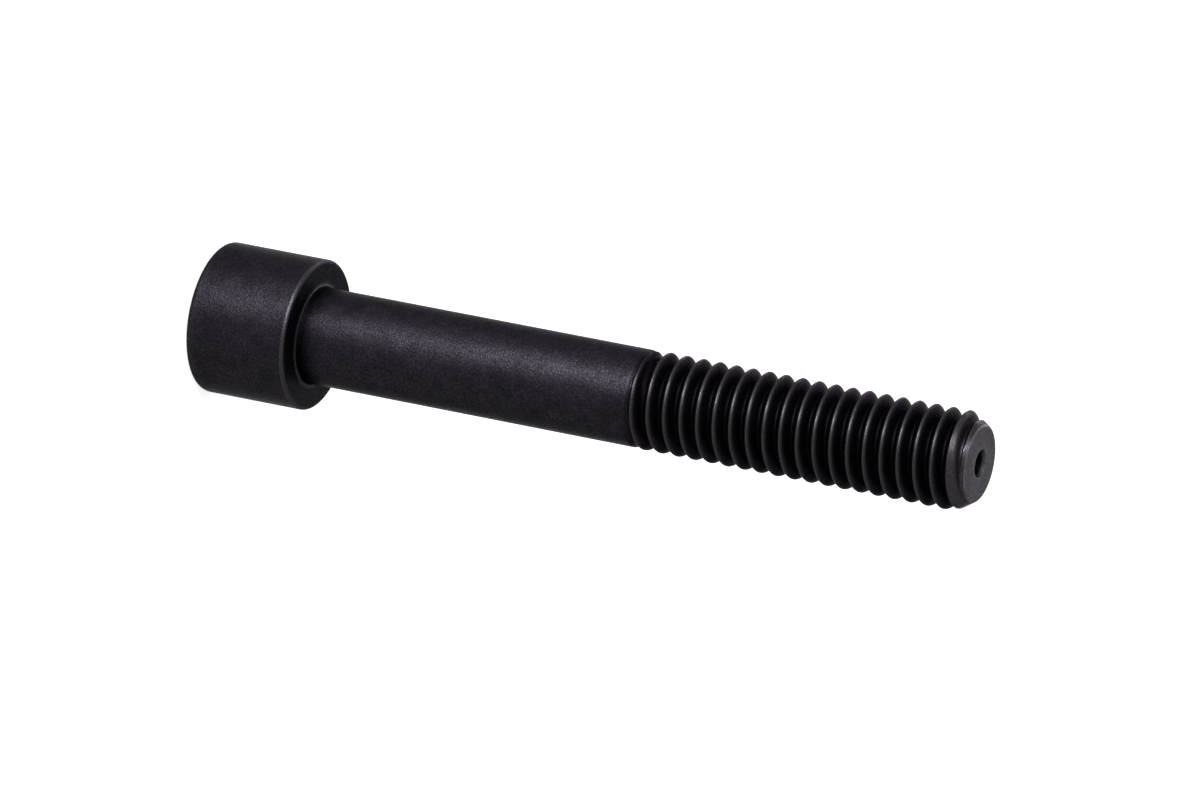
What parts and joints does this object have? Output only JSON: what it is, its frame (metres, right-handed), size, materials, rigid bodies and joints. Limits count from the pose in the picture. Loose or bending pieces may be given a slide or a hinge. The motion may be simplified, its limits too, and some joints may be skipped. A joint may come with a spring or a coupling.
{
  "type": "hex socket screw",
  "caption": "Black part-threaded hex socket head cap screw with a plain shank, a bevelled tip and a small centre hole in its end face.",
  "frame": {"origin": "centre of the head's top face, the face with the hex socket, on which the screw stands", "axes": "+Z along the screw's axis from the head to the tip; two flats of the hex socket face +Y and -Y"},
  "size_m": [0.012, 0.012, 0.0658],
  "materials": {
    "black_steel": "black oxide over alloy steel, fine matt grain, slightly glossier on the rolled thread"
  },
  "bodies": {
    "root": {"screw": "black_steel"}
  },
  "joints": []
}
